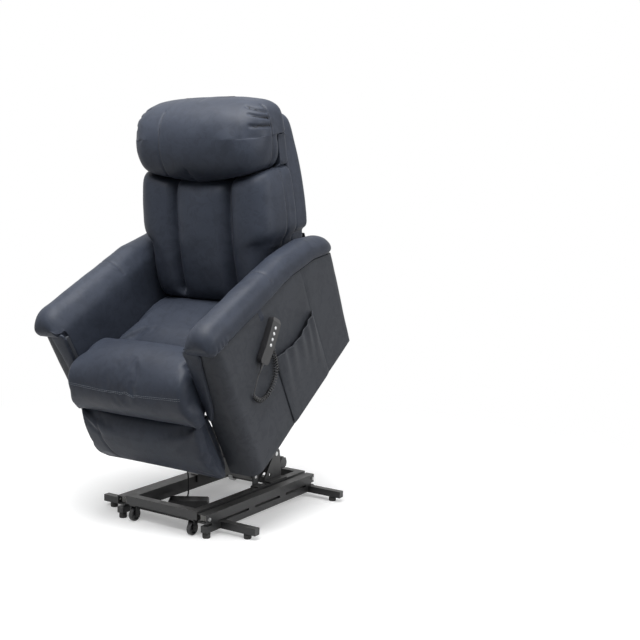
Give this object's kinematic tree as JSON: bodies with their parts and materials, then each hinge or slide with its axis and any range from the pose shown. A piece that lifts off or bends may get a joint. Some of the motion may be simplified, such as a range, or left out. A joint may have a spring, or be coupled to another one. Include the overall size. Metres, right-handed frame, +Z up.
{
  "type": "lift recliner chair",
  "caption": "Upholstered armchair on a powered four-bar lift and rolling floor base, with reclining back, folding footrest and corded handset.",
  "frame": {"origin": "centre of the bottom of the bounding box, on the floor, with the lift raised and nothing reclined", "axes": "+Z up; the chair faces -Y; +X is the sitter's left, the side with the handset"},
  "size_m": [0.7958, 0.9075, 1.5187],
  "materials": {
    "cushion_leather": "semi-gloss leather over foam",
    "panel_leather": "leather over board",
    "skin_leather": "semi-gloss",
    "black_steel": "satin powder coat",
    "zinc_steel": "zinc plated",
    "black_plastic": "fine texture",
    "cord_sheath": "smooth",
    "foot_rubber": "matt",
    "pale_nylon": "natural nylon",
    "button_face": "smooth",
    "timber": "bare plywood",
    "board": "bare plywood and black steel brackets"
  },
  "bodies": {
    "base": {"base_rail_left": "black_steel", "base_rail_right": "black_steel", "front_cross_bar": "black_steel", "rear_cross_bar": "black_steel", "rubber_feet": "foot_rubber", "rail_bolts": "zinc_steel", "power_brick": "black_plastic", "power_lead": "cord_sheath"},
    "rolling_frame": {"rolling_frame": "black_steel", "slide_blocks": "pale_nylon", "wheel_forks": "black_steel", "lift_towers": "black_steel", "lower_pivot_pins": "zinc_steel"},
    "wheel_left": {"wheel_left": "black_plastic"},
    "wheel_right": {"wheel_right": "black_plastic"},
    "lift_arms": {"lift_arms": "black_steel"},
    "lift_links": {"lift_links": "black_steel"},
    "lift_actuator": {"lift_actuator_body": "black_plastic"},
    "lift_rod": {"lift_actuator_rod": "zinc_steel"},
    "chair": {"lift_top_frame": "black_steel", "upper_pivot_pins": "zinc_steel", "power_socket": "black_plastic", "mechanism_plates": "black_steel", "side_panel_left": "panel_leather", "side_panel_right": "panel_leather", "inner_arm_left": "cushion_leather", "inner_arm_right": "cushion_leather", "arm_pad_left": "cushion_leather", "arm_pad_right": "cushion_leather", "arm_facing_left": "cushion_leather", "arm_facing_right": "cushion_leather", "seat_frame": "timber", "seat_springs": "zinc_steel", "seat_cushion": "cushion_leather", "seat_front_pad": "cushion_leather", "rear_rail": "timber", "rear_skirt": "skin_leather", "side_pocket": "skin_leather", "holster_strap": "skin_leather", "holster_hook": "black_plastic", "cord_grommet": "black_plastic", "curly_cord": "cord_sheath", "handset_lead": "cord_sheath"},
    "backrest": {"back_frame": "black_steel", "back_shell": "panel_leather", "back_cushion": "cushion_leather", "headrest": "cushion_leather"},
    "foot_lower_links": {"foot_lower_links": "black_steel"},
    "foot_upper_links": {"foot_upper_links": "black_steel"},
    "foot_guide_links": {"foot_guide_links": "black_steel"},
    "footrest": {"footrest_board": "board", "footrest_pad": "cushion_leather"},
    "recline_actuator": {"recline_actuator_body": "black_plastic"},
    "recline_rod": {"recline_actuator_rod": "zinc_steel"},
    "handset": {"handset_body": "black_plastic", "handset_gland": "black_plastic"},
    "button_one": {"button_one": "button_face"},
    "button_two": {"button_two": "button_face"},
    "button_three": {"button_three": "button_face"},
    "button_four": {"button_four": "button_face"}
  },
  "joints": [
    {"name": "recline", "type": "slide", "parent": "base", "child": "rolling_frame", "axis": [0, -1, 0], "range_m": [0, 0.3], "deforming": ["power_lead"]},
    {"name": "lift", "type": "hinge", "parent": "rolling_frame", "child": "lift_arms", "pos_m": [0, 0.289, 0.186], "axis": [1, 0, 0], "range_deg": [0, 34.93], "deforming": ["power_lead"]},
    {"name": "lift_link_pivot", "type": "hinge", "parent": "rolling_frame", "child": "lift_links", "pos_m": [0, 0.152, 0.124], "axis": [1, 0, 0], "range_deg": [0, 39.48]},
    {"name": "chair_pivot", "type": "hinge", "parent": "lift_arms", "child": "chair", "pos_m": [0, -0.04546, 0.37203], "axis": [1, 0, 0], "range_deg": [-64.25, 0]},
    {"name": "lift_actuator_pivot", "type": "hinge", "parent": "rolling_frame", "child": "lift_actuator", "pos_m": [0, 0.438, 0.13], "axis": [1, 0, 0], "range_deg": [0, 14.64]},
    {"name": "lift_rod_slide", "type": "slide", "parent": "lift_actuator", "child": "lift_rod", "axis": [0, 0.9933, 0.1157], "range_m": [0, 0.05525]},
    {"name": "backrest_pivot", "type": "hinge", "parent": "chair", "child": "backrest", "pos_m": [0, 0.17917, 0.7538], "axis": [1, 0, 0], "range_deg": [-46.02, 0], "deforming": ["rear_skirt"]},
    {"name": "footrest_hinge", "type": "hinge", "parent": "chair", "child": "foot_lower_links", "pos_m": [0, -0.20032, 0.45942], "axis": [1, 0, 0], "range_deg": [-136.23, 0]},
    {"name": "footrest_knee", "type": "hinge", "parent": "foot_lower_links", "child": "foot_upper_links", "pos_m": [0, -0.0252, 0.38833], "axis": [1, 0, 0], "range_deg": [0, 109.03]},
    {"name": "footrest_eye", "type": "hinge", "parent": "foot_upper_links", "child": "footrest", "pos_m": [0, -0.22239, 0.2842], "axis": [1, 0, 0], "range_deg": [-62.82, 0]},
    {"name": "footrest_guide", "type": "hinge", "parent": "foot_lower_links", "child": "foot_guide_links", "pos_m": [0, -0.06533, 0.41974], "axis": [1, 0, 0], "range_deg": [0, 111.85]},
    {"name": "recline_actuator_pivot", "type": "hinge", "parent": "chair", "child": "recline_actuator", "pos_m": [0, 0.24662, 0.65404], "axis": [1, 0, 0], "range_deg": [0, 0.756]},
    {"name": "recline_rod_slide", "type": "slide", "parent": "recline_actuator", "child": "recline_rod", "axis": [0, -0.8991, -0.4378], "range_m": [0, 0.12066]},
    {"name": "wheel_left_spin", "type": "hinge", "parent": "rolling_frame", "child": "wheel_left", "pos_m": [0.132, -0.222, 0.024], "axis": [1, 0, 0], "continuous": true},
    {"name": "wheel_right_spin", "type": "hinge", "parent": "rolling_frame", "child": "wheel_right", "pos_m": [-0.132, -0.222, 0.024], "axis": [1, 0, 0], "continuous": true},
    {"name": "handset_lift_off", "type": "slide", "parent": "chair", "child": "handset", "axis": [1, 0, 0], "range_m": [0, 0.06], "deforming": ["handset_lead", "curly_cord"]},
    {"name": "button_one_press", "type": "slide", "parent": "handset", "child": "button_one", "axis": [-1, 0, 0], "range_m": [0, 0.001], "stiffness_N_per_m": 300, "springref_m": -0.001},
    {"name": "button_two_press", "type": "slide", "parent": "handset", "child": "button_two", "axis": [-1, 0, 0], "range_m": [0, 0.001], "stiffness_N_per_m": 300, "springref_m": -0.001},
    {"name": "button_three_press", "type": "slide", "parent": "handset", "child": "button_three", "axis": [-1, 0, 0], "range_m": [0, 0.001], "stiffness_N_per_m": 300, "springref_m": -0.001},
    {"name": "button_four_press", "type": "slide", "parent": "handset", "child": "button_four", "axis": [-1, 0, 0], "range_m": [0, 0.001], "stiffness_N_per_m": 300, "springref_m": -0.001}
  ],
  "couplings": [
    {"joint": "lift_link_pivot", "follows": "lift", "ratio": 1.1297},
    {"joint": "chair_pivot", "follows": "lift", "ratio": -1.8388},
    {"joint": "lift_actuator_pivot", "follows": "lift", "ratio": 0.41854},
    {"joint": "lift_rod_slide", "follows": "lift", "m_per_rad": 0.090304},
    {"joint": "backrest_pivot", "follows": "recline", "rad_per_m": -2.6762},
    {"joint": "footrest_hinge", "follows": "recline", "rad_per_m": -7.9244},
    {"joint": "footrest_knee", "follows": "recline", "rad_per_m": 6.3419},
    {"joint": "footrest_eye", "follows": "recline", "rad_per_m": -3.6536},
    {"joint": "footrest_guide", "follows": "recline", "rad_per_m": 6.5062},
    {"joint": "recline_actuator_pivot", "follows": "recline", "rad_per_m": 0.0428},
    {"joint": "recline_rod_slide", "follows": "recline", "ratio": 0.40155}
  ]
}
